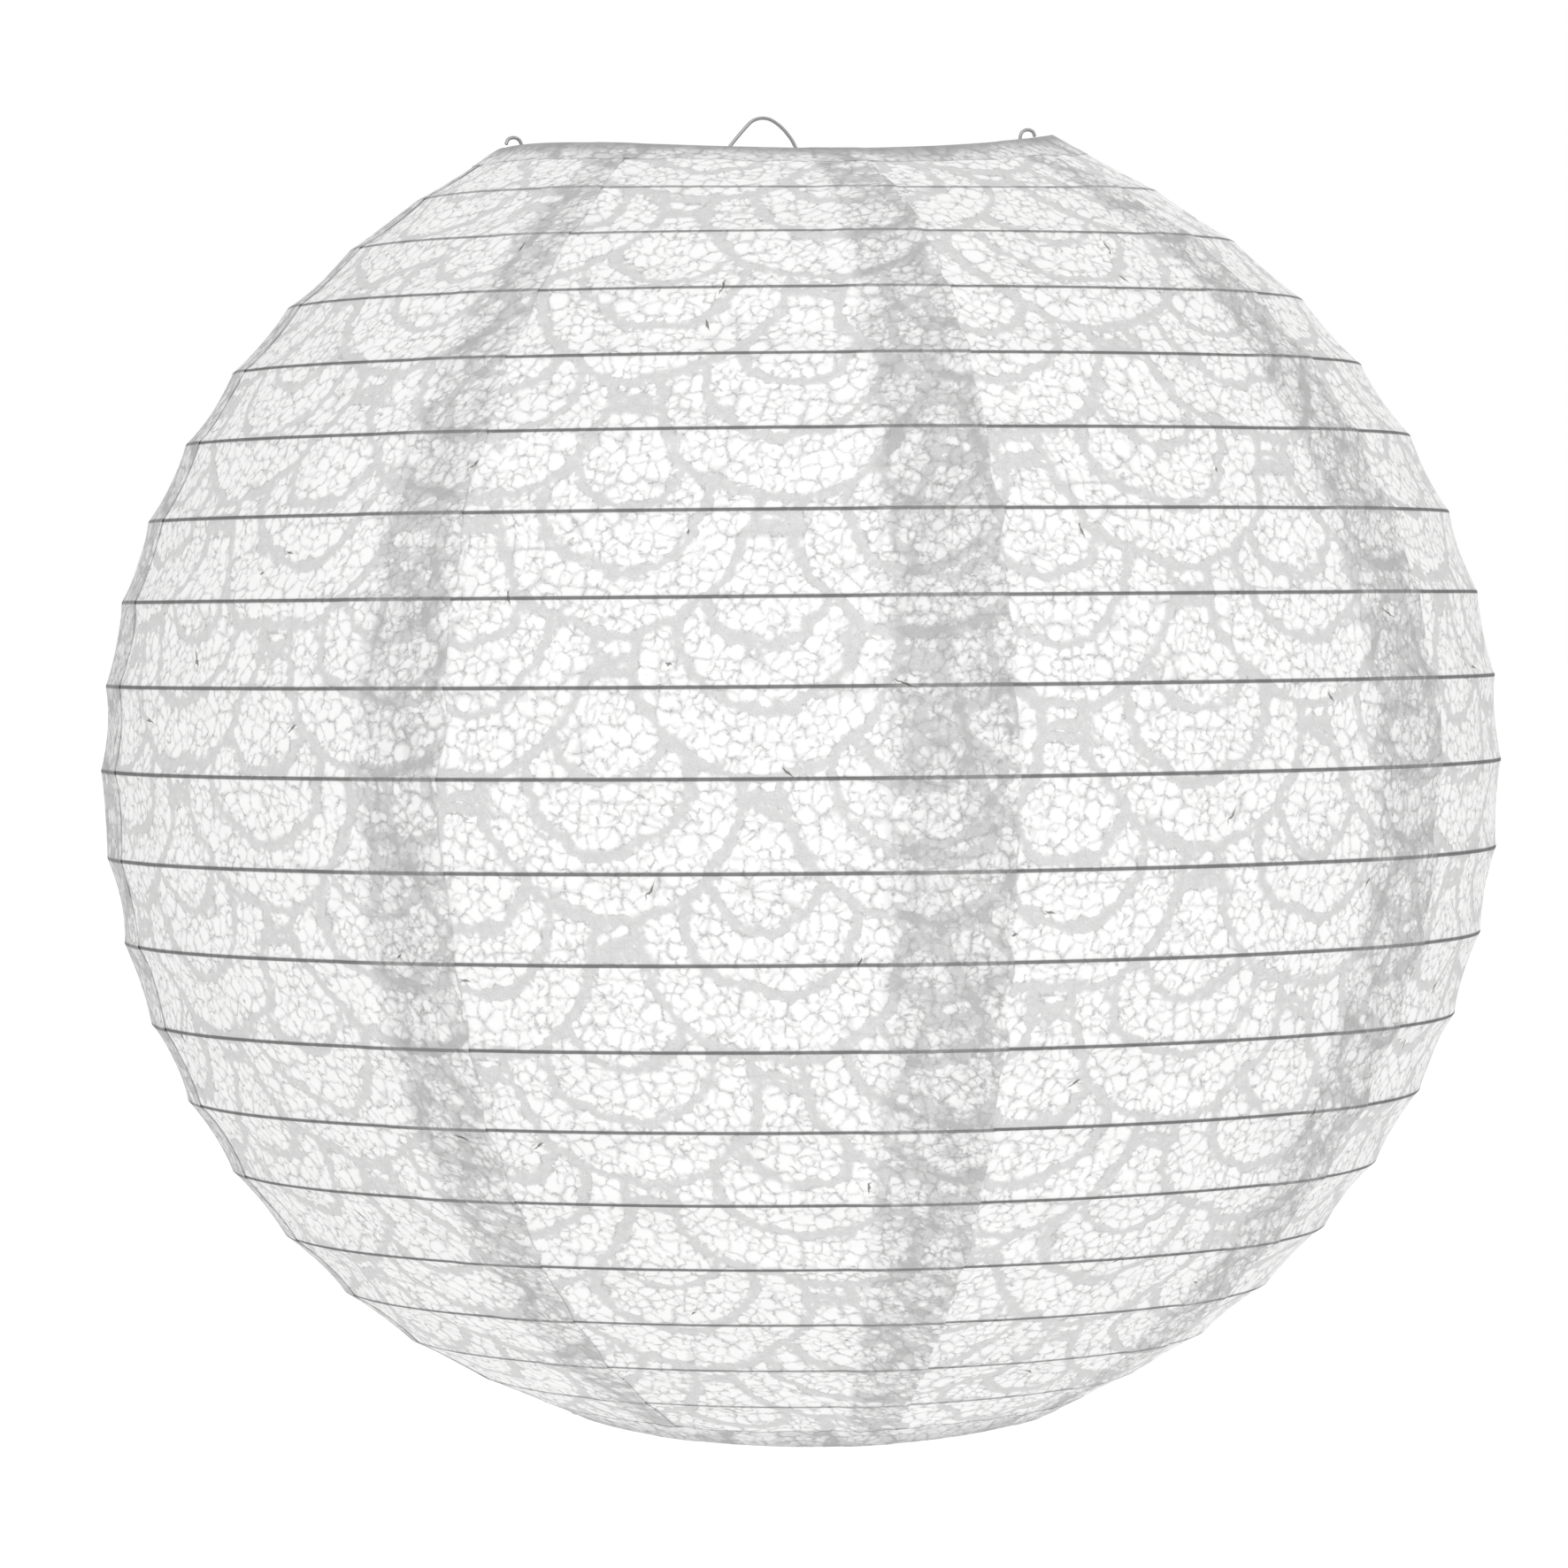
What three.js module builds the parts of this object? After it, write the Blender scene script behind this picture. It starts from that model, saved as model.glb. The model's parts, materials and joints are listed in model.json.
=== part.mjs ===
// Round paper lantern, shown open: paper gores over wire hoops, hung on a wire expander.
// Millimetres, +Z up. The origin is the underside of the hanging arch, where a hook or cord holds it.
import * as THREE from 'three';

// ---- whole lantern ----
const DIAMETER = 356; // 14 inch lantern, across the widest hoop
const R = DIAMETER / 2;
const AROUND = 48; // straight steps round every ring
const STEP_ANGLE = (2 * Math.PI) / AROUND;
const CLEARANCE = 0.3; // air between pieces that touch in use

// ---- expander wire ----
const WIRE_R = 0.6;
const ARCH_RISE = 9.3; // arch centre line above the top rim
const BAR_DROP = 3.9; // crossbar centre line below the top rim
const ARCH_FLANK = [ // one flank of the arch from its top, x outward and z from the top
  [0, 0],
  [2.3, -0.4],
  [4.5, -1.8],
  [6.6, -4.2],
  [8.8, -7.4],
  [11.5, -11.4],
  [15, -ARCH_RISE - BAR_DROP],
];
const LEG_X = 57; // straight run of each leg
const SHOULDER_DEPTH = 26; // depth at which a leg has come in to LEG_X
const PIVOT_X = 66; // where a leg meets the crossbar
const EXPANDER_TURN = THREE.MathUtils.degToRad(20);

// ---- rims and hoops ----
const RIM_R = 0.8;
const HOOP_R = 0.5;
const TOP_RIM = { r: 0.4 * R, z: WIRE_R - ARCH_RISE };
const EQUATOR_Z = TOP_RIM.z - 0.875 * R;
const BOTTOM_RIM = { r: 0.357 * R, z: EQUATOR_Z - 0.941 * R };
const HOOPS_ABOVE = 8; // hoops above the widest one
const HOOPS_BELOW = 9;
// Each half: angle from hoop to hoop, how much closer they get, and height against a true sphere.
const UPPER_HALF = { step: 7.25, closing: 0, flatten: 0.95 };
const LOWER_HALF = { step: 7.2, closing: 0.04, flatten: 0.996 };

// ---- paper ----
const PAPER = 0.4; // drawn thicker than real paper, which is about 0.1
const GORES = 8;
const GORE_STEPS = AROUND / GORES;
const GORE_ANGLE = GORE_STEPS * STEP_ANGLE;
const OVERLAP = THREE.MathUtils.degToRad(9.8); // glued lap of one gore over the next
const LAP_RISE = PAPER + CLEARANCE;
const SEAM_TURN = THREE.MathUtils.degToRad(-38.4);
const HEM_WIDTH = 8.5;

const materials = {
  paper: { color: 0xf1f1ee, roughness: 0.95, metalness: 0 },
  hem: { color: 0xd9d9d6, roughness: 0.95, metalness: 0 },
  hoop: { color: 0x8d8f90, roughness: 0.5, metalness: 0.8 },
  expander: { color: 0xb4b6b8, roughness: 0.35, metalness: 1 },
};

function piece(name, geometry, look) {
  const mesh = new THREE.Mesh(geometry, new THREE.MeshStandardMaterial(look));
  mesh.name = name;
  return mesh;
}

// ---- stations: the cross-section of the shade, top rim first ----
function hoopStation(level) {
  const half = level > 0 ? UPPER_HALF : LOWER_HALF;
  const latitude = THREE.MathUtils.degToRad(level * (half.step - half.closing * Math.abs(level)));
  return {
    r: R * Math.cos(latitude),
    z: EQUATOR_Z + half.flatten * R * Math.sin(latitude),
    wire: HOOP_R,
  };
}

const hoopStations = [];
for (let level = HOOPS_ABOVE; level >= -HOOPS_BELOW; level -= 1) {
  hoopStations.push(hoopStation(level));
}
const stations = [
  { ...TOP_RIM, wire: RIM_R },
  ...hoopStations,
  { ...BOTTOM_RIM, wire: RIM_R },
];

// Outward direction of the shade's skin at a station, from its two neighbours.
function outward(index) {
  const above = stations[Math.max(index - 1, 0)];
  const below = stations[Math.min(index + 1, stations.length - 1)];
  return new THREE.Vector2(above.z - below.z, below.r - above.r).normalize();
}

// ---- wire rings: upright axis, one flat of the ring facing the front ----
function ring(station) {
  const sides = station.wire > HOOP_R ? 8 : 5;
  const torus = new THREE.TorusGeometry(station.r, station.wire, sides, AROUND);
  torus.translate(0, 0, station.z);
  return torus;
}

// ---- paper gore: a thin slab bent over the hoops, its last strip lapping the next gore ----
function goreGeometry(goreIndex) {
  const columns = GORE_STEPS + 2; // two of them carry the lap
  const rows = stations.length - 1;
  const slab = new THREE.BoxGeometry(columns, rows, 1, columns, rows, 1);
  const position = slab.attributes.position;
  const start = goreIndex * GORE_ANGLE;
  for (let i = 0; i < position.count; i += 1) {
    const column = Math.round(position.getX(i) + columns / 2);
    const row = Math.round(rows / 2 - position.getY(i));
    const outside = position.getZ(i) > 0;
    const onLap = column >= GORE_STEPS;
    const angle = Math.min(column * STEP_ANGLE, GORE_ANGLE + OVERLAP);
    const station = stations[row];
    const away = outward(row);
    const lift = station.wire + CLEARANCE + (onLap ? LAP_RISE : 0) + (outside ? PAPER : 0);
    const r = station.r + away.x * lift;
    const z = station.z + away.y * lift;
    position.setXYZ(i, r * Math.cos(start + angle), r * Math.sin(start + angle), z);
  }
  slab.computeVertexNormals();
  return slab;
}

// ---- hem: paper strip folded over a rim wire and glued down outside the gores ----
function hemGeometry(rim, neighbour) {
  const along = new THREE.Vector2(neighbour.r - rim.r, neighbour.z - rim.z).normalize();
  const away = new THREE.Vector2(Math.abs(along.y), along.x * -Math.sign(along.y));
  const inner = RIM_R + 2 * CLEARANCE + PAPER + LAP_RISE;
  const lip = RIM_R + CLEARANCE;
  const corners = [
    [HEM_WIDTH, inner],
    [-lip, inner],
    [-lip, -lip],
    [-lip - PAPER, -lip],
    [-lip - PAPER, inner + PAPER],
    [HEM_WIDTH, inner + PAPER],
    [HEM_WIDTH, inner],
  ];
  const profile = corners.map(([t, n]) => new THREE.Vector2(
    rim.r + along.x * t + away.x * n,
    rim.z + along.y * t + away.y * n,
  ));
  // The two hems mirror each other, so their profiles run opposite ways.
  const risesFromShade = along.y < 0;
  const lathe = new THREE.LatheGeometry(risesFromShade ? profile.reverse() : profile, AROUND);
  lathe.rotateX(Math.PI / 2);
  return lathe;
}

// ---- expander: bent wire, drawn in the XZ plane ----
function wireGeometry(points, steps) {
  const path = new THREE.CatmullRomCurve3(
    points.map(([x, z]) => new THREE.Vector3(x, 0, z)),
    false,
    'centripetal',
  );
  const section = new THREE.Shape();
  section.absarc(0, 0, WIRE_R, 0, 2 * Math.PI);
  return new THREE.ExtrudeGeometry(section, { steps, extrudePath: path, curveSegments: 4 });
}

// Half of the crossbar from the arch's top to the hook's tip, x outward, z from the top rim.
function crossbarHalf() {
  const rimX = TOP_RIM.r;
  return [
    ...ARCH_FLANK.map(([x, z]) => [x, ARCH_RISE + z]),
    [rimX / 2, -BAR_DROP],
    [rimX - 4, -BAR_DROP],
    // hairpin under the rim, which sits on its upper run
    [rimX + 1.3, -BAR_DROP],
    [rimX + 2.4, -BAR_DROP + 1.05],
    [rimX + 1.3, -BAR_DROP + 2.1],
    [rimX - 1.6, -BAR_DROP + 2.1],
    // up inside the rim and over the hem to the tip
    [rimX - 3, -0.6],
    [rimX - 3, 2.4],
    [rimX - 1.6, 4.1],
    [rimX + 0.2, 4.2],
    [rimX + 2.4, 3.4],
  ];
}

function crossbarGeometry() {
  const right = crossbarHalf();
  const left = right.slice(1).reverse().map(([x, z]) => [-x, z]);
  const points = [...left, ...right].map(([x, z]) => [x, z + TOP_RIM.z]);
  return wireGeometry(points, 110);
}

function legGeometry(side) {
  const top = TOP_RIM.z - BAR_DROP - WIRE_R - CLEARANCE;
  const shoulder = TOP_RIM.z - SHOULDER_DEPTH;
  const foot = BOTTOM_RIM.z;
  const footX = LEG_X + 3.4; // the foot bows out to bear on the inside of the bottom rim
  const points = [
    [PIVOT_X, top],
    [PIVOT_X, top - 2],
    [LEG_X, shoulder],
    [LEG_X, shoulder - 8],
    [LEG_X, (shoulder + foot) / 2],
    [LEG_X, foot + 14],
    [footX - 0.6, foot + 4],
    [footX, foot + 1.5],
    [footX - 0.7, foot - 0.8],
    [footX - 2.6, foot - 1.6],
    [footX - 5, foot - 0.8],
  ];
  return wireGeometry(points.map(([x, z]) => [side * x, z]), 36);
}

// ---- assembly ----
const lantern = new THREE.Group();
lantern.name = 'paper_lantern';

const expander = new THREE.Group();
expander.name = 'expander';
expander.rotation.z = EXPANDER_TURN;
expander.add(piece('crossbar_with_hanging_arch', crossbarGeometry(), materials.expander));
expander.add(piece('left_expander_leg', legGeometry(-1), materials.expander));
expander.add(piece('right_expander_leg', legGeometry(1), materials.expander));
lantern.add(expander);

const shade = new THREE.Group();
shade.name = 'shade';
shade.rotation.z = SEAM_TURN - Math.PI / 2;
const lastStation = stations.length - 1;
shade.add(piece('top_rim_ring', ring(stations[0]), materials.hoop));
shade.add(piece('bottom_rim_ring', ring(stations[lastStation]), materials.hoop));
hoopStations.forEach((station, i) => {
  const number = String(i + 1).padStart(2, '0');
  shade.add(piece(`rib_hoop_${number}`, ring(station), materials.hoop));
});
for (let i = 0; i < GORES; i += 1) {
  shade.add(piece(`paper_gore_${i + 1}`, goreGeometry(i), materials.paper));
}
shade.add(piece('top_hem', hemGeometry(stations[0], stations[1]), materials.hem));
shade.add(piece(
  'bottom_hem',
  hemGeometry(stations[lastStation], stations[lastStation - 1]),
  materials.hem,
));
lantern.add(shade);

export default lantern;
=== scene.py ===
"""Looks for the round paper lantern: lace paper gores over wire hoops, hung on a wire expander.

Lengths are metres in the row frame. The paper's texture coordinates are millimetres of paper.
"""

import json
import math

import bpy
import numpy as np
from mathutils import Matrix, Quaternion, Vector


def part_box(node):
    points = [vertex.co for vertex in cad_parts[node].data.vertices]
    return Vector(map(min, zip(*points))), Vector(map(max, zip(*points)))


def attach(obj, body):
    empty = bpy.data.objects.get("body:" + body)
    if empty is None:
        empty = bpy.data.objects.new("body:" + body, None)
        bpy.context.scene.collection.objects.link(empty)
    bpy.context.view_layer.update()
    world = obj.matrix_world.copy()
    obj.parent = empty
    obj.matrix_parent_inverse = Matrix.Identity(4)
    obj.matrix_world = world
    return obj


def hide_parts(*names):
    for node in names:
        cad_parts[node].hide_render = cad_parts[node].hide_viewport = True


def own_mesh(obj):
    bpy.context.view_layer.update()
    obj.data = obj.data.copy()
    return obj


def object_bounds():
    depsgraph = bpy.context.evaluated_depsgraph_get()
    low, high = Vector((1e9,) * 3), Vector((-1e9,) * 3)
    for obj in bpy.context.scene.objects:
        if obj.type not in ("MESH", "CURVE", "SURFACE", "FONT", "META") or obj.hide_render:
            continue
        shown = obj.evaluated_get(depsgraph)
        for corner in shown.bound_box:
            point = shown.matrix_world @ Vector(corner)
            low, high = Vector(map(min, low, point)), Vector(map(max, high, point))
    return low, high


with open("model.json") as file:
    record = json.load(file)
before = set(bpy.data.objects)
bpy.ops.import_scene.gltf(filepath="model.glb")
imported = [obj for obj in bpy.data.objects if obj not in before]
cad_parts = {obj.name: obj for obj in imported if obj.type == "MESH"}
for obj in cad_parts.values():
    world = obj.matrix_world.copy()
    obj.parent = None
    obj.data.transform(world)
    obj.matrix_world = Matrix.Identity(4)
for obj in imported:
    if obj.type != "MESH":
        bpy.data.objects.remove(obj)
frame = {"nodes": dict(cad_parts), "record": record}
first_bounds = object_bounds()
MM = 0.001

# ---- sizes from the CAD frame ----
HOOP_WIRE = 0.5 * MM
RIM_WIRE = 0.8 * MM
EXPANDER_WIRE = 0.45 * MM
HOOP_NAMES = [f"rib_hoop_{i:02d}" for i in range(1, 19)]
GORE_NAMES = [f"paper_gore_{i}" for i in range(1, 9)]
ROOT = "expander_and_top"


def ring_size(node, wire):
    """Centre-line radius and height of a wire ring."""
    low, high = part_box(node)
    corners = np.array([v.co for v in frame["nodes"][node].data.vertices])
    return float(np.hypot(corners[:, 0], corners[:, 1]).max()) - wire, (low[2] + high[2]) / 2


TOP_RIM = ring_size("top_rim_ring", RIM_WIRE)
BOTTOM_RIM = ring_size("bottom_rim_ring", RIM_WIRE)
HOOPS = [ring_size(name, HOOP_WIRE) for name in HOOP_NAMES]
STATIONS = np.array([TOP_RIM, *HOOPS, BOTTOM_RIM])  # radius and height of every ring, from the top
LAST = len(STATIONS) - 1
ARC_LENGTH = np.concatenate([[0], np.cumsum(np.linalg.norm(np.diff(STATIONS, axis=0), axis=1))])
BAY = ARC_LENGTH[-1] / LAST
EQUATOR_R, EQUATOR_Z = max(HOOPS)
JOINTS = {j["name"]: j for j in frame["record"]["behaviour"]["joints"]}
SQUEEZE_AXIS = JOINTS["right_leg_squeeze"]["axis"]
EXPANDER_TURN = math.atan2(-SQUEEZE_AXIS[0], SQUEEZE_AXIS[1])
FRONT = -math.pi / 2
SEAM_START = FRONT + math.radians(-38.4)
GORE_ANGLE = 2 * math.pi / len(GORE_NAMES)
LAP_ANGLE = math.radians(9.8)

# ---- camera: long lens, a little above the widest hoop ----
DISTANCE = 10.55 * EQUATOR_R
CAMERA_RISE = 0.215 * EQUATOR_R
CAMERA_SIDE = -4.5 * MM
PITCH = 1.33
ROLL = 0.48
LENS = 168.2


def make_camera():
    data = bpy.data.cameras.new("camera")
    camera = bpy.data.objects.new("camera", data)
    bpy.context.scene.collection.objects.link(camera)
    data.sensor_width = 36
    data.lens = LENS
    data.clip_end = 100
    camera.location = (CAMERA_SIDE, -DISTANCE, EQUATOR_Z + CAMERA_RISE)
    pitch = math.radians(PITCH)
    forward = Vector((0, math.cos(pitch), -math.sin(pitch)))
    camera.rotation_mode = "QUATERNION"
    turn = Quaternion(forward, math.radians(ROLL))
    camera.rotation_quaternion = turn @ forward.to_track_quat("-Z", "Y")
    bpy.context.scene.camera = camera


make_camera()


# ---- node helpers ----
class Graph:
    """Builds shader nodes with short calls. A value may be a socket or a number."""

    def __init__(self, tree):
        self.tree = tree

    def node(self, kind, inputs=(), **settings):
        made = self.tree.nodes.new(kind)
        for key, value in settings.items():
            setattr(made, key, value)
        for key, value in dict(inputs).items():
            self.put(made.inputs[key], value)
        return made

    def put(self, socket, value):
        if isinstance(value, bpy.types.NodeSocket):
            self.tree.links.new(value, socket)
        else:
            socket.default_value = value

    def math(self, operation, *values, clamp=False):
        made = self.node("ShaderNodeMath", operation=operation, use_clamp=clamp)
        for socket, value in zip(made.inputs, values):
            self.put(socket, value)
        return made.outputs[0]

    def smooth(self, value, low, high, to_low=0.0, to_high=1.0):
        made = self.node(
            "ShaderNodeMapRange",
            {0: value, 1: low, 2: high, 3: to_low, 4: to_high},
            interpolation_type="SMOOTHSTEP",
        )
        return made.outputs[0]

    def mix(self, factor, a, b):
        """Number mix."""
        return self.node("ShaderNodeMix", {0: factor, 2: a, 3: b}, data_type="FLOAT").outputs[0]

    def colour(self, factor, a, b):
        return self.node("ShaderNodeMix", {0: factor, 6: a, 7: b}, data_type="RGBA").outputs[2]

    def noise(self, vector, scale, detail=2.0, roughness=0.5, output="Fac"):
        inputs = {"Vector": vector, "Scale": scale, "Detail": detail, "Roughness": roughness}
        return self.node("ShaderNodeTexNoise", inputs).outputs[output]

    def cells(self, vector, scale, feature):
        inputs = {"Vector": vector, "Scale": scale}
        return self.node("ShaderNodeTexVoronoi", inputs, voronoi_dimensions="2D", feature=feature).outputs

    def vector(self, operation, a, b, output=0):
        made = self.node("ShaderNodeVectorMath", operation=operation)
        self.put(made.inputs[0], a)
        self.put(made.inputs[1], b)
        return made.outputs[output]

    def drift(self, vector, scale, reach):
        """vector moved about by smooth noise, by up to about half of reach each way."""
        offset = self.vector("SUBTRACT", self.noise(vector, scale, output="Color"), (0.5, 0.5, 0.5))
        return self.vector("ADD", vector, self.vector("MULTIPLY", offset, (reach, reach, 0.0)))


def new_material(name):
    material = bpy.data.materials.new(name)
    material.use_nodes = True
    material.node_tree.nodes.clear()
    graph = Graph(material.node_tree)
    output = graph.node("ShaderNodeOutputMaterial")
    return material, graph, output


# ---- lace paper: staggered rows of nested arcs, each hanging over the next, on round thin spots ----
# Each arc is part of a circle: how far its centre is below the motif's, and its radius.
ARCS = ((0.0, 14.2), (9.5, 20.5), (14.8, 31.2))
ARC_PERIOD_X = 72.8
ARC_PERIOD_Y = 67.3
ARC_GAP = ARC_PERIOD_Y - 2 * ARCS[-1][1]
ARC_TOP = ARCS[-1][0] - ARCS[-1][1] - ARC_GAP / 2
FAR = 20.0  # a distance that never counts as near
SPOT_DENSITY = 0.235  # thin spots per millimetre
CROWDED_DENSITY = 0.39  # where the spots crowd together
CROWDED_EDGE = 0.60  # brings the crowded spots' edges to the width of the others
SPECK_DENSITY = 0.026  # places for a fibre, per millimetre
SPECK_SPREAD = 5.0  # their half lengths run over this many millimetres
SPECK_DROP = 1.6  # and this much of it is below zero, where no fibre is drawn
SPECK_HALF_WIDTH = 0.42


def add_motif(g, x, y, shift):
    """One lattice of motifs.

    Returns the distance to its nearest arc and to its outermost one, whether it covers the place,
    and the depth in its row.
    """
    half = ARC_PERIOD_X / 2
    across = g.math("WRAP", g.math("ADD", x, shift * half), half, -half)
    down = g.math("WRAP", g.math("ADD", y, shift * ARC_PERIOD_Y / 2), ARC_TOP + ARC_PERIOD_Y, ARC_TOP)
    across_squared = g.math("MULTIPLY", across, across)
    nearest, inside = FAR, 0.0
    for drop, radius in ARCS:
        below = g.math("SUBTRACT", down, drop)
        out = g.math("SQRT", g.math("MULTIPLY_ADD", below, below, across_squared))
        line = g.math("ABSOLUTE", g.math("SUBTRACT", out, radius))
        nearest = g.math("MINIMUM", nearest, g.math("MULTIPLY_ADD", inside, FAR, line))
        inside = g.math("LESS_THAN", out, radius)
    return nearest, line, inside, down


def add_arcs(g, paper):
    """Distance in millimetres to the nearest arc. A motif hides what is under it of the next row's."""
    split = g.node("ShaderNodeSeparateXYZ", {0: g.drift(paper, 0.06, 10.0)})
    x, y = split.outputs[0], split.outputs[1]
    near_a, rim_a, in_a, down_a = add_motif(g, x, y, 0)
    near_b, rim_b, in_b, down_b = add_motif(g, x, y, 1)
    upper_a = g.math("GREATER_THAN", down_a, down_b)
    take_a = g.math("MULTIPLY", in_a, g.math("MAXIMUM", upper_a, g.math("SUBTRACT", 1.0, in_b)))
    shown = g.mix(take_a, near_b, near_a)
    upper_rim = g.mix(upper_a, rim_b, rim_a)
    inside = g.math("MINIMUM", shown, upper_rim)
    outside = g.math("MINIMUM", rim_a, rim_b)
    return g.mix(g.math("MAXIMUM", in_a, in_b), outside, inside)


def add_specks(g, paper):
    """Short dark fibres, at most one to every 40 mm square."""
    bent = g.drift(paper, 0.35, 2.4)
    found = g.cells(bent, SPECK_DENSITY, "F1")
    place = g.vector("SUBTRACT", bent, found["Position"])
    pick = g.vector("SUBTRACT", found["Color"], (0.5, 0.5, 0.0))
    flat = g.vector("MULTIPLY", pick, (1.0, 1.0, 0.0))
    aim = g.node("ShaderNodeVectorMath", {0: flat}, operation="NORMALIZE").outputs[0]
    along = g.math("ABSOLUTE", g.vector("DOT_PRODUCT", place, aim, "Value"))
    distance = g.vector("DISTANCE", bent, found["Position"], "Value")
    along_squared = g.math("MULTIPLY", along, along)
    across_squared = g.math("SUBTRACT", g.math("MULTIPLY", distance, distance), along_squared)
    across = g.math("SQRT", g.math("MAXIMUM", across_squared, 0.0))
    chance = g.node("ShaderNodeSeparateXYZ", {0: pick}).outputs[2]
    reach = g.math("MULTIPLY_ADD", chance, SPECK_SPREAD, -SPECK_DROP)
    to_tip = g.math("SUBTRACT", 1.0, g.math("DIVIDE", along, reach), clamp=True)
    taper = g.math("MULTIPLY", to_tip, SPECK_HALF_WIDTH)
    drawn = g.smooth(g.math("SUBTRACT", across, taper), -0.12, 0.06, 1.0, 0.0)
    return g.math("MULTIPLY", drawn, g.math("GREATER_THAN", reach, 0.05))


def make_lace_group():
    """Shader group from paper coordinates in millimetres.

    Thickness goes from 0, thin, to 1. Relief is the height for the bump. Speck is 1 on a dark fibre.
    """
    tree = bpy.data.node_groups.new("lace", "ShaderNodeTree")
    tree.interface.new_socket("Paper", in_out="INPUT", socket_type="NodeSocketVector")
    for name in ("Thickness", "Relief", "Speck"):
        tree.interface.new_socket(name, in_out="OUTPUT", socket_type="NodeSocketFloat")
    g = Graph(tree)
    paper = g.node("NodeGroupInput").outputs[0]
    result = g.node("NodeGroupOutput")

    # Thin spots: how far a place is from a spot's middle and from its edge.
    wobble = g.drift(g.drift(paper, 0.30, 2.8), 1.1, 1.3)
    finer = g.vector("ADD", wobble, (11.0, 5.0, 0.0))
    crowd = g.smooth(g.noise(paper, 0.12, 2.0), 0.47, 0.55)
    big_middle = g.cells(wobble, SPOT_DENSITY, "F1")["Distance"]
    small_middle = g.cells(finer, CROWDED_DENSITY, "F1")["Distance"]
    middle = g.mix(crowd, big_middle, small_middle)
    big_edge = g.cells(wobble, SPOT_DENSITY, "DISTANCE_TO_EDGE")["Distance"]
    small_edge = g.cells(finer, CROWDED_DENSITY, "DISTANCE_TO_EDGE")["Distance"]
    edge = g.mix(crowd, big_edge, g.math("MULTIPLY", small_edge, CROWDED_EDGE))

    # Thicker paper between the spots, and the partly broken lines round them.
    web = g.smooth(edge, 0.0, 0.18, 1.0, 0.0)
    corner = g.smooth(middle, 0.44, 0.70)
    broken = g.smooth(g.noise(paper, 0.55, 2.0), 0.44, 0.60, 0.0, 1.0)
    outline = g.math("MULTIPLY", g.smooth(edge, 0.010, 0.048, 1.0, 0.0), broken)
    fibre = g.noise(g.drift(paper, 0.8, 1.6), 2.2, 4.0, 0.7)
    wide = g.smooth(g.noise(paper, 0.05, 2.0), 0.35, 0.70)

    # Arcs: ragged bands that the spots bite into, with a darker border in places.
    ragged = g.noise(paper, 0.5, 4.0, 0.65)
    near = g.math("MULTIPLY_ADD", g.math("SUBTRACT", ragged, 0.5), 3.0, add_arcs(g, paper))
    near = g.math("MULTIPLY_ADD", g.math("SUBTRACT", 0.42, middle), 1.8, near)
    arc = g.smooth(near, 0.5, 2.2, 1.0, 0.0)
    border = g.smooth(g.math("ABSOLUTE", g.math("SUBTRACT", near, 1.3)), 0.08, 0.38, 1.0, 0.0)
    border = g.math("MULTIPLY", border, g.smooth(g.noise(paper, 0.16, 2.0), 0.40, 0.60))

    thick = g.math("MULTIPLY", web, g.math("MULTIPLY_ADD", fibre, 0.80, -0.14))
    thick = g.math("MULTIPLY_ADD", corner, 0.24, thick)
    thick = g.math("MULTIPLY_ADD", outline, 0.40, thick)
    thick = g.math("MULTIPLY_ADD", wide, 0.05, thick)
    filled = g.math("MULTIPLY_ADD", fibre, 0.80, 0.16)
    thick = g.mix(g.math("MULTIPLY", arc, 0.9), thick, filled)
    thick = g.math("MULTIPLY_ADD", border, 0.26, thick)
    g.put(result.inputs["Thickness"], g.math("MAXIMUM", thick, 0.0, clamp=True))
    g.put(result.inputs["Relief"], g.math("MULTIPLY_ADD", arc, 0.5, web))
    g.put(result.inputs["Speck"], add_specks(g, paper))
    return tree


LACE = make_lace_group()
THIN_PAPER = (0.935, 0.935, 0.932, 1)
THICK_PAPER = (0.42, 0.42, 0.42, 1)
DOUBLE_PAPER = (0.41, 0.41, 0.41, 1)
SPECK_BROWN = (0.12, 0.11, 0.10, 1)
# Painted shadow of the hoop wires seen through the paper.
PAINTED_WIRE_SHADOW = (0.13, 0.13, 0.13, 1)
# Painted shade along the hems' folds round the rim wires.
PAINTED_FOLD_GREY = (0.33, 0.33, 0.33, 1)
UNDER_SHIFT = (31.0, 17.0)  # the lower ply's lace is from elsewhere in the sheet
GORE_SEE_THROUGH = 0.32
HEM_SEE_THROUGH = 0.15
LINE_HALF_WIDTH = (0.28, 0.66)  # millimetres from a hoop: full painted wire shadow, and none


def add_lace(g, shift):
    paper = g.node("ShaderNodeUVMap", uv_map="paper").outputs[0]
    made = g.node("ShaderNodeGroup", node_tree=LACE)
    g.put(made.inputs[0], g.vector("ADD", paper, (*shift, 0.0)))
    return made.outputs


def finish_paper(g, output, tone, relief, see_through):
    bump = g.node("ShaderNodeBump", {"Strength": 0.25, "Distance": 0.0004, "Height": relief}).outputs[0]
    surface = g.node(
        "ShaderNodeBsdfPrincipled",
        {"Base Color": tone, "Roughness": 0.92, "Specular IOR Level": 0.15, "Normal": bump},
    )
    through = g.node("ShaderNodeBsdfTranslucent", {"Color": tone, "Normal": bump})
    both = {0: see_through, 1: surface.outputs[0], 2: through.outputs[0]}
    g.put(output.inputs[0], g.node("ShaderNodeMixShader", both).outputs[0])


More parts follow.
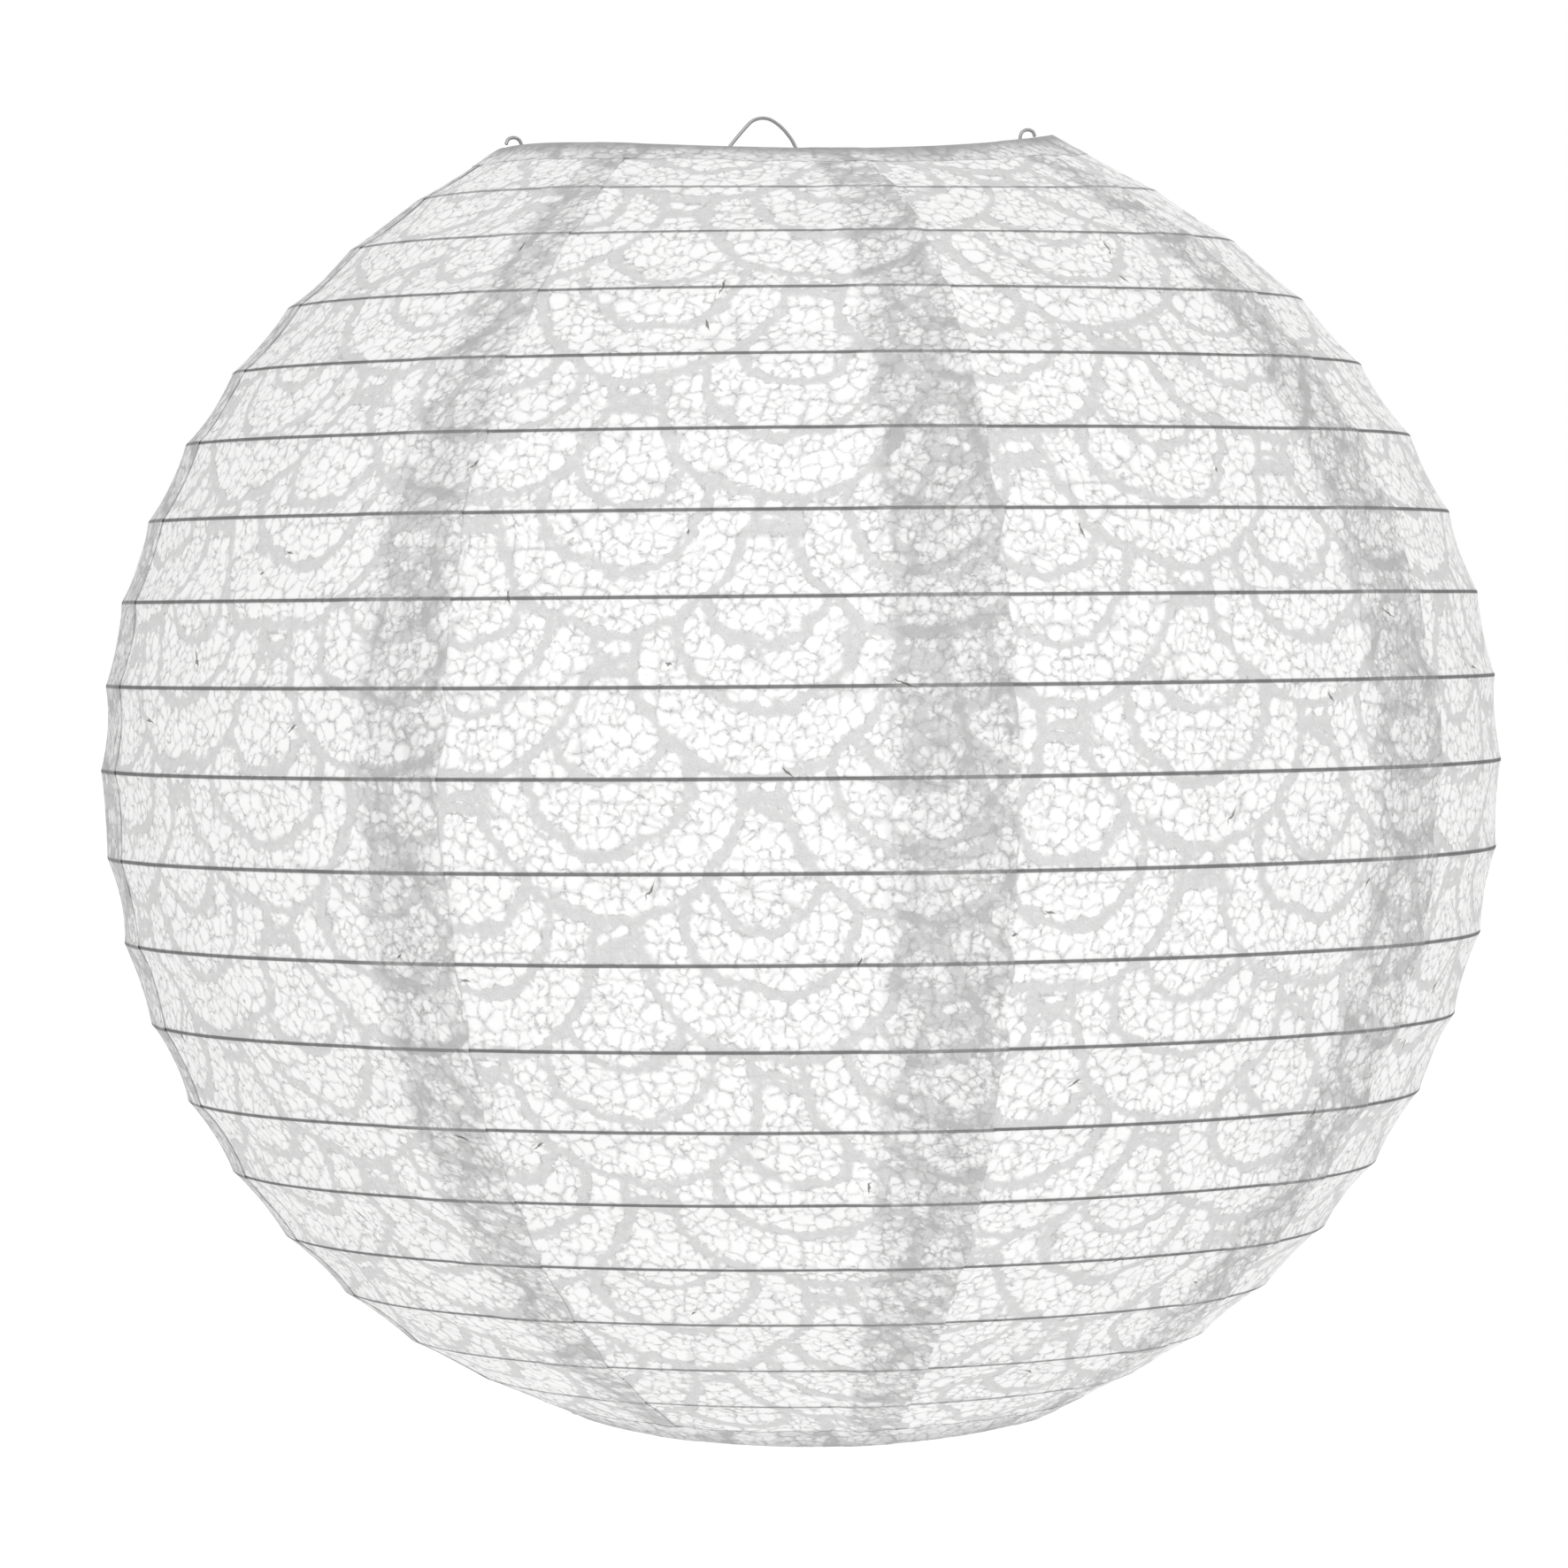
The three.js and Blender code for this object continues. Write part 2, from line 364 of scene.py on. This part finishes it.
def make_gore_paper():
    """One ply of lace paper, two on the laps, with the hoop wire's dark line and painted shadow at every
    whole station.
    """
    material, g, output = new_material("lace_paper")
    lace, under = add_lace(g, (0.0, 0.0)), add_lace(g, UNDER_SHIFT)
    lap = g.node("ShaderNodeAttribute", attribute_name="lap").outputs["Fac"]
    station = g.node("ShaderNodeAttribute", attribute_name="station").outputs["Fac"]
    # A dark line over each hoop: the wire seen through the paper, with its painted shadow.
    from_hoop = g.math("MULTIPLY", g.math("PINGPONG", station, 0.5), BAY / MM)
    line = g.smooth(from_hoop, *LINE_HALF_WIDTH, 1.0, 0.0)
    tone = g.colour(lace["Thickness"], THIN_PAPER, THICK_PAPER)
    paper = g.node("ShaderNodeUVMap", uv_map="paper").outputs[0]
    along_lap = g.vector("MULTIPLY", paper, (1.0, 0.35, 1.0))
    glue = g.smooth(g.noise(along_lap, 0.17, 3.0), 0.47, 0.66, 0.04, 0.22)
    tone = g.colour(g.math("MULTIPLY", lap, glue), tone, DOUBLE_PAPER)
    tone = g.colour(g.math("MULTIPLY", under["Thickness"], lap), tone, DOUBLE_PAPER)
    tone = g.colour(g.math("MULTIPLY", lace["Speck"], 0.8), tone, SPECK_BROWN)
    # The painted wire shadow is fainter towards the rims and on the laps.
    from_middle = g.math("ABSOLUTE", g.math("SUBTRACT", station, LAST / 2))
    strength = g.smooth(from_middle, 5.0, 9.5, 0.85, 0.52)
    line = g.math("MULTIPLY", line, g.math("MULTIPLY_ADD", lap, -0.20, strength))
    tone = g.colour(line, tone, PAINTED_WIRE_SHADOW)
    finish_paper(g, output, tone, lace["Relief"], GORE_SEE_THROUGH)
    return material


def make_hem_paper():
    """Two plies, with painted shade along the fold round the rim wire."""
    material, g, output = new_material("hem_paper")
    lace, under = add_lace(g, (0.0, 0.0)), add_lace(g, UNDER_SHIFT)
    painted_fold_shade = g.node("ShaderNodeAttribute", attribute_name="painted_fold_shade").outputs["Fac"]
    both = g.math("MULTIPLY_ADD", under["Thickness"], 0.6, g.math("MULTIPLY", lace["Thickness"], 0.7))
    tone = g.colour(g.math("ADD", both, 0.28, clamp=True), THIN_PAPER, DOUBLE_PAPER)
    # Painted shade along the fold where the paper wraps the rim wire.
    tone = g.colour(g.math("MULTIPLY", painted_fold_shade, 0.8), tone, PAINTED_FOLD_GREY)
    finish_paper(g, output, tone, lace["Relief"], HEM_SEE_THROUGH)
    return material


def make_wire(name, dull, bright, roughness, metallic):
    """Drawn wire with fine marks along it and a few dull patches."""
    material, g, output = new_material(name)
    place = g.node("ShaderNodeTexCoord").outputs["Object"]
    patches = g.noise(place, 90.0, 3.0, 0.6)
    grain = g.noise(g.vector("MULTIPLY", place, (1.0, 1.0, 6.0)), 1800.0, 2.0, 0.6)
    tone = g.colour(g.math("MULTIPLY_ADD", grain, 0.4, g.math("MULTIPLY", patches, 0.6)), dull, bright)
    surface = g.node(
        "ShaderNodeBsdfPrincipled",
        {
            "Base Color": tone,
            "Roughness": g.smooth(patches, 0.3, 0.7, roughness - 0.08, roughness + 0.1),
            "Metallic": metallic,
        },
    )
    g.put(output.inputs[0], surface.outputs[0])
    return material


GORE_PAPER = make_gore_paper()
HEM_PAPER = make_hem_paper()
HOOP_STEEL = make_wire("hoop_wire", (0.10, 0.10, 0.10, 1), (0.24, 0.24, 0.24, 1), 0.6, 0.0)
RIM_STEEL = make_wire("rim_wire", (0.16, 0.16, 0.16, 1), (0.32, 0.32, 0.32, 1), 0.5, 0.2)
BRIGHT_STEEL = make_wire("expander_wire", (0.24, 0.24, 0.25, 1), (0.46, 0.46, 0.47, 1), 0.35, 0.6)

# ---- unevenness of the hung shade ----
TOP_PULL = 3.2 * MM  # the hooks pull the top rim up on two sides
TOP_TILT = 2.15 * MM  # right end above the left
TOP_SAG = 1.2 * MM
TOP_SHIFT = -5.7 * MM  # along X
BOTTOM_PULL = 2.0 * MM
BOTTOM_SHIFT = 2.4 * MM
TOP_FADE = 1.3  # stations over which the pull dies out
BOTTOM_FADE = 1.0


def warp(points):
    """Moves points as the hung shade is bent: its rims' sides pulled up, and each rim moved sideways."""
    station = np.interp(-points[:, 2], -STATIONS[:, 1], np.arange(LAST + 1))
    angle = np.arctan2(points[:, 1], points[:, 0])
    from_axis = np.minimum(np.hypot(points[:, 0], points[:, 1]) / BOTTOM_RIM[0], 1) ** 2
    top = np.exp(-station / TOP_FADE)
    bottom = np.exp((station - LAST) / BOTTOM_FADE)
    pull = TOP_PULL * np.cos(2 * (angle - EXPANDER_TURN)) + TOP_TILT * np.cos(angle) - TOP_SAG
    rise = top * pull + bottom * BOTTOM_PULL * (1 + np.cos(2 * angle))
    shift = TOP_SHIFT * top + BOTTOM_SHIFT * bottom
    return points + np.stack([shift, np.zeros_like(shift), rise * from_axis], -1)


# ---- mesh helpers ----
def add_piece(name, points, faces, material, body, node):
    mesh = bpy.data.meshes.new(name)
    mesh.from_pydata(warp(np.reshape(points, (-1, 3))).tolist(), [], faces)
    mesh.update()
    mesh.shade_smooth()
    mesh.materials.append(material)
    piece = bpy.data.objects.new(name, mesh)
    bpy.context.scene.collection.objects.link(piece)
    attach(piece, body)
    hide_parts(node)
    return piece


def grid_faces(rows, columns, wrap_columns=False, wrap_rows=False):
    """Quads of a rows by columns grid of points. Wrapping joins the last column or row to the first."""
    return [
        (
            i * columns + j,
            (i + 1) % rows * columns + j,
            (i + 1) % rows * columns + (j + 1) % columns,
            i * columns + (j + 1) % columns,
        )
        for i in range(rows if wrap_rows else rows - 1)
        for j in range(columns if wrap_columns else columns - 1)
    ]


def set_uv(piece, u, v):
    mesh = piece.data
    layer = mesh.uv_layers.new(name="paper")
    index = np.empty(len(mesh.loops), int)
    mesh.loops.foreach_get("vertex_index", index)
    both = np.stack([np.ravel(u), np.ravel(v)], -1)[index]
    layer.data.foreach_set("uv", both.ravel().astype(np.float32))


def set_value(piece, name, values):
    attribute = piece.data.attributes.new(name, "FLOAT", "POINT")
    attribute.data.foreach_set("value", np.ravel(values).astype(np.float32))


# ---- hoops and rims ----
RING_STEPS, RING_SIDES = 144, 10


def ring_piece(name, ring, wire, material, body, node):
    angle = np.linspace(0, 2 * np.pi, RING_STEPS, endpoint=False)
    turn = np.linspace(0, 2 * np.pi, RING_SIDES, endpoint=False)
    a, t = np.meshgrid(angle, turn, indexing="ij")
    r = ring[0] + wire * np.cos(t)
    z = ring[1] + wire * np.sin(t)
    points = np.stack([r * np.cos(a), r * np.sin(a), z], -1)
    faces = grid_faces(RING_STEPS, RING_SIDES, True, True)
    return add_piece(name, points, faces, material, body, node)


for number, (name, hoop) in enumerate(zip(HOOP_NAMES, HOOPS), 1):
    made_name = f"hoop_{number:02d}"
    ring_piece(made_name, hoop, HOOP_WIRE, HOOP_STEEL, made_name, name)
ring_piece("top_rim_wire", TOP_RIM, RIM_WIRE, RIM_STEEL, ROOT, "top_rim_ring")
ring_piece("bottom_rim_wire", BOTTOM_RIM, RIM_WIRE, RIM_STEEL, "bottom_rim", "bottom_rim_ring")

# ---- paper skin ----
DIP = 0.9 * MM  # sag of the paper between hoops
DIP_AT_RIMS = 0.3  # share of it beside the rims
TAUT_BAYS = 4  # bays from a rim to the full sag
PAPER_OVER_WIRE = 0.05 * MM
LAP_LIFT = 0.3 * MM
LAP_RAMP = math.radians(2)  # width of the step up onto the gore beneath
EDGE_WAVER = math.radians(0.25)  # a gore's cut edge isn't quite straight


def skin(angle, s, lift):
    """Points at an angle and station number, lifted out from the lines between the wires' centres."""
    low = np.clip(np.floor(s).astype(int), 0, LAST - 1)
    f = (s - low)[..., None]
    point = STATIONS[low] * (1 - f) + STATIONS[low + 1] * f
    stations = np.arange(LAST + 1)
    before, after = np.maximum(s - 0.5, 0), np.minimum(s + 0.5, LAST)
    along = [np.interp(after, stations, row) - np.interp(before, stations, row) for row in STATIONS.T]
    normal = np.stack([-along[1], along[0]], -1)
    normal /= np.linalg.norm(normal, axis=-1, keepdims=True)
    r, z = np.moveaxis(point + normal * lift[..., None], -1, 0)
    return np.stack([r * np.cos(angle), r * np.sin(angle), z], -1)


def unevenness(angle, s, seed):
    """Smooth field of about unit size that closes on itself round the shade."""
    rng = np.random.default_rng(seed)
    total = np.zeros_like(angle)
    for _ in range(7):
        total += np.sin(rng.integers(6, 46) * angle + rng.uniform(0.6, 4.4) * s + rng.uniform(0, 6.28))
    return total / 2.6


def paper_lift(angle, s):
    """How far the paper is from the wires' centre lines: over each wire, and sagging in between."""
    over_wire = np.interp(s, [0, 1, LAST - 1, LAST], [RIM_WIRE, HOOP_WIRE, HOOP_WIRE, RIM_WIRE])
    belly = np.abs(np.sin(np.pi * s)) ** 0.8
    bay = np.floor(np.minimum(s, LAST - 0.01))
    slack = np.interp(s, [0, TAUT_BAYS, LAST - TAUT_BAYS, LAST], [DIP_AT_RIMS, 1, 1, DIP_AT_RIMS])
    sag = DIP * slack * (1 + 0.3 * unevenness(angle, bay, 90)) - 0.2 * MM * unevenness(angle, s, 40)
    return over_wire + PAPER_OVER_WIRE - belly * sag


# ---- gores ----
BAY_ROWS = 8
GORE_COLUMNS = 31
LAP_COLUMNS = 8
# How much later than its seam each gore starts, so the laps aren't all as wide.
FIRST_EDGES = np.radians([2.8, 0.7, 0.0, 1.2, 0.4, 1.8, 0.9, 0.2])
# Middle of a lace motif on the front gore, from the gore's middle line and its top edge.
FRONT_MOTIF = (39.9, ARC_LENGTH[7] / MM - 3)


def gore_piece(index):
    starts_late, lap_starts = FIRST_EDGES[index], GORE_ANGLE + FIRST_EDGES[(index + 1) % len(GORE_NAMES)]
    base = np.linspace(starts_late, lap_starts, GORE_COLUMNS)
    lap = np.linspace(lap_starts, GORE_ANGLE + LAP_ANGLE, LAP_COLUMNS + 1)[1:]
    rows = LAST * BAY_ROWS + 1
    s, column_angle = np.meshgrid(np.linspace(0, LAST, rows), np.concatenate([base, lap]), indexing="ij")
    on_lap = np.clip((column_angle - GORE_ANGLE) / LAP_ANGLE, 0, 1)
    a = column_angle + on_lap * EDGE_WAVER * unevenness(s * 0, s * 2, 60 + index)
    angle = SEAM_START + index * GORE_ANGLE + a
    over = np.clip((a - GORE_ANGLE) / LAP_RAMP + 1, 0, 1)
    points = skin(angle, s, paper_lift(angle, s) + LAP_LIFT * over)
    name = f"lace_gore_{index + 1}"
    faces = grid_faces(rows, s.shape[1])
    piece = add_piece(name, points, faces, GORE_PAPER, ROOT, GORE_NAMES[index])

    # On the other gores the lace starts anywhere in the sheet.
    rng = np.random.default_rng(7 + index)
    motif = FRONT_MOTIF if index == 0 else rng.uniform(0, 140, 2)
    radius = np.interp(s, np.arange(LAST + 1), STATIONS[:, 0])
    down = np.interp(s, np.arange(LAST + 1), ARC_LENGTH)
    set_uv(piece, (a - GORE_ANGLE / 2) * radius / MM - motif[0], down / MM - motif[1])
    set_value(piece, "lap", column_angle > lap_starts - 1e-6)
    set_value(piece, "station", s)
    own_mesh(piece)
    return piece


for index in range(len(GORE_NAMES)):
    gore_piece(index)

# ---- hems ----
HEM_WIDTH = 8.5 * MM
HEM_INSIDE = 5.5 * MM
HEM_LIFT = 0.12 * MM
FOLD_R = 1.05 * MM
HEM_STEPS = 240
TOP_FOLD_PAINTED_SHADE, BOTTOM_FOLD_PAINTED_SHADE = 1.0, 0.45  # how dark the painted shade along each fold is


def lap_rise(angle):
    """How far the outermost gore is lifted at an angle by the gore under its lap."""
    past_seam = np.mod(angle - SEAM_START, GORE_ANGLE)
    before = np.clip((past_seam - GORE_ANGLE) / LAP_RAMP + 1, 0, 1)
    after = np.clip((LAP_ANGLE + LAP_RAMP - past_seam) / LAP_RAMP, 0, 1)
    return LAP_LIFT * np.maximum(before, after)


def hem_piece(name, top, body, node):
    """Paper glued over the gores, folded round the rim wire and a little way down inside."""
    rim, neighbour = (STATIONS[0], STATIONS[1]) if top else (STATIONS[-1], STATIONS[-2])
    along = (neighbour - rim) / np.linalg.norm(neighbour - rim)
    away = np.array([-along[1], along[0]]) if top else np.array([along[1], -along[0]])
    angle = np.linspace(0, 2 * np.pi, HEM_STEPS, endpoint=False)
    waves = ((0.5, 5, 1.1), (0.35, 11, 0.4), (0.25, 23, 2.0))
    rough = sum(height * np.sin(count * angle + phase) for height, count, phase in waves)
    rows, travelled = [], []
    for t in np.linspace(HEM_WIDTH, 0, 9):
        reach = t * (1 + 0.06 * rough) / np.linalg.norm(neighbour - rim)
        s = reach if top else LAST - reach
        rows.append(skin(angle, s, paper_lift(angle, s) + lap_rise(angle) + HEM_LIFT))
        travelled.append(HEM_WIDTH - t)
    for b in np.linspace(0.3, math.pi, 9):
        fold = rim + FOLD_R * (np.cos(b) * away - np.sin(b) * along)
        fold = fold[None] - (0.15 * MM * rough * np.sin(b))[:, None] * along
        rows.append(np.stack([fold[:, 0] * np.cos(angle), fold[:, 0] * np.sin(angle), fold[:, 1]], -1))
        travelled.append(HEM_WIDTH + FOLD_R * b)
    for t in np.linspace(0.6 * MM, HEM_INSIDE, 4):
        inner = rim + along * t - away * FOLD_R
        level = np.full(HEM_STEPS, inner[1])
        rows.append(np.stack([inner[0] * np.cos(angle), inner[0] * np.sin(angle), level], -1))
        travelled.append(HEM_WIDTH + FOLD_R * math.pi + t)
    travelled = np.array(travelled)
    faces = grid_faces(len(rows), HEM_STEPS, wrap_columns=True)
    piece = add_piece(name, np.array(rows), faces, HEM_PAPER, body, node)
    i, a = np.meshgrid(np.arange(len(rows)), angle, indexing="ij")
    set_uv(piece, a * rim[0] / MM, travelled[i] / MM)
    # Painted shade: strongest at the fold, fading out a few millimetres either side of it.
    from_fold = np.abs(travelled[i] - HEM_WIDTH) / ((4.0 + 1.5 * rough) * MM)
    fold_shade_amount = TOP_FOLD_PAINTED_SHADE if top else BOTTOM_FOLD_PAINTED_SHADE
    set_value(piece, "painted_fold_shade", np.clip(1.3 - from_fold, 0, 1) * fold_shade_amount)
    return piece


hem_piece("top_hem_fold", True, ROOT, "top_hem")
hem_piece("bottom_hem_fold", False, "bottom_rim", "bottom_hem")


# ---- expander wire ----
def smooth_path(points, steps=8):
    """Smooth curve through points, as many short steps."""
    p = np.array([points[0], *points, points[-1]], float)
    out = []
    for i in range(1, len(p) - 2):
        a, b, c, d = p[i - 1 : i + 3]
        span = np.linalg.norm(c - b)
        leave, arrive = (c - a) / 2, (d - b) / 2
        leave *= min(1, span / max(np.linalg.norm(leave), 1e-9))
        arrive *= min(1, span / max(np.linalg.norm(arrive), 1e-9))
        for f in np.arange(steps) / steps:
            h = (2 * f**3 - 3 * f**2 + 1) * b + (f**3 - 2 * f**2 + f) * leave
            out.append(h + (3 * f**2 - 2 * f**3) * c + (f**3 - f**2) * arrive)
    out.append(p[-2])
    return np.array(out)


def wire_piece(name, points, body, node):
    """Round wire along a path of (x, z) points in the expander's own plane, millimetres."""
    path = smooth_path([(x, 0.0, z) for x, z in points]) * MM
    c, s = math.cos(EXPANDER_TURN), math.sin(EXPANDER_TURN)
    path = np.stack([path[:, 0] * c, path[:, 0] * s, path[:, 2]], -1)
    tangent = np.gradient(path, axis=0)
    tangent /= np.linalg.norm(tangent, axis=1, keepdims=True)
    side = np.array([-s, c, 0.0])
    across = np.cross(tangent, side)
    turn = np.linspace(0, 2 * np.pi, 12, endpoint=False)[:, None]
    rings = [p + EXPANDER_WIRE * (np.cos(turn) * side + np.sin(turn) * w) for p, w in zip(path, across)]
    sides = len(turn)
    faces = grid_faces(len(path), sides, wrap_columns=True)
    faces += [tuple(range(sides)), tuple((len(path) - 1) * sides + k for k in reversed(range(sides)))]
    return add_piece(name, np.array(rings), faces, BRIGHT_STEEL, body, node)


RIM_X = TOP_RIM[0] / MM
RIM_Z = TOP_RIM[1] / MM
BAR = -3.9  # crossbar below the top rim
# Hook from the crossbar out to its tip: a hairpin under the rim, then up inside it and a small eye over it.
HOOK = [
    (RIM_X - 4, BAR),
    (RIM_X + 1.3, BAR),
    (RIM_X + 2.4, BAR + 1.05),
    (RIM_X + 1.3, BAR + 2.1),
    (RIM_X - 1.6, BAR + 2.1),
    (RIM_X - 3.2, -0.6),
    (RIM_X - 3.3, 1.6),
    (RIM_X - 2.6, 2.9),
    (RIM_X - 1.2, 3.4),
    (RIM_X + 0.2, 2.9),
    (RIM_X + 0.8, 1.6),
]
ARCH_SHIFT = -3.2  # the arch isn't in the middle of the bar
# The arch, left foot first. Its left flank is the straighter one.
ARCH = [
    (-16, BAR),
    (-12.0, -2.4),
    (-9.4, 1.2),
    (-5.8, 5.4),
    (-2.8, 8.4),
    (-0.2, 9.3),
    (2.4, 8.9),
    (5.4, 6.9),
    (8.0, 3.9),
    (9.6, 0.9),
    (12.0, -2.4),
    (16, BAR),
]


def crossbar():
    left = [(-x, z) for x, z in reversed(HOOK)]
    arch = [(x + ARCH_SHIFT, z) for x, z in ARCH]
    line = [*left, (-RIM_X / 2, BAR), *arch, (RIM_X / 2, BAR), *HOOK]
    path = [(x, z + RIM_Z) for x, z in line]
    return wire_piece("crossbar_wire", path, ROOT, "crossbar_with_hanging_arch")


LEG_X = 57.0  # straight run of each leg
PIVOT_X = 66.0  # where a leg meets the crossbar
FOOT_X = LEG_X + 3.4
PIVOT_DROP = 0.9  # top of a leg below the crossbar's centre line
SHOULDER_DEPTH = 26


def leg(side, body, node):
    top = RIM_Z + BAR - PIVOT_DROP
    shoulder = RIM_Z - SHOULDER_DEPTH
    foot = BOTTOM_RIM[1] / MM
    path = [
        (PIVOT_X, top),
        (PIVOT_X, top - 2),
        (LEG_X, shoulder),
        (LEG_X, shoulder - 8),
        (LEG_X, (shoulder + foot) / 2),
        (LEG_X, foot + 14),
        (FOOT_X - 0.6, foot + 4),
        (FOOT_X, foot + 1.5),
        (FOOT_X - 0.7, foot - 0.8),
        (FOOT_X - 2.6, foot - 1.6),
        (FOOT_X - 5, foot - 0.8),
    ]
    return wire_piece(f"{body}_wire", [(side * x, z) for x, z in path], body, node)


crossbar()
leg(-1, "left_leg", "left_expander_leg")
leg(1, "right_leg", "right_expander_leg")


# ---- floor and light ----
FLOOR_DROP = 0.45
FLOOR_SIZE = 160
WORLD_LIGHT = 1.0
LIGHT_SIZE = 1.6
LIGHTS = (("key", (0.1, -2.4, 1.2), 19), ("fill", (0.6, -2.5, 0.1), 3), ("back", (0.3, 2.4, 0.9), 13))


def make_stage():
    material, g, output = new_material("studio_white")
    place = g.node("ShaderNodeTexCoord").outputs["Object"]
    tone = g.colour(g.noise(place, 1.5, 2.0), (0.93, 0.93, 0.93, 1), (0.96, 0.96, 0.96, 1))
    surface = g.node(
        "ShaderNodeBsdfPrincipled",
        {"Base Color": tone, "Roughness": 0.9, "Emission Color": (1, 1, 1, 1), "Emission Strength": 0.12},
    )
    g.put(output.inputs[0], surface.outputs[0])
    bpy.ops.mesh.primitive_plane_add(size=FLOOR_SIZE, location=(0, 0, first_bounds[0][2] - FLOOR_DROP))
    floor = bpy.context.object
    floor.name = "floor"
    floor.data.materials.append(material)

    world = bpy.data.worlds.new("studio")
    bpy.context.scene.world = world
    world.use_nodes = True
    world.node_tree.nodes["Background"].inputs[0].default_value = (1, 1, 1, 1)
    world.node_tree.nodes["Background"].inputs[1].default_value = WORLD_LIGHT
    for name, place, power in LIGHTS:
        add_light(name, place, power)


def add_light(name, place, power):
    data = bpy.data.lights.new(name, "AREA")
    data.energy = power
    data.size = LIGHT_SIZE
    light = bpy.data.objects.new(name, data)
    bpy.context.scene.collection.objects.link(light)
    light.location = place
    aim = Vector((0, 0, EQUATOR_Z)) - Vector(place)
    light.rotation_mode = "QUATERNION"
    light.rotation_quaternion = aim.to_track_quat("-Z", "Y")


make_stage()
bpy.context.scene.view_settings.view_transform = "Standard"
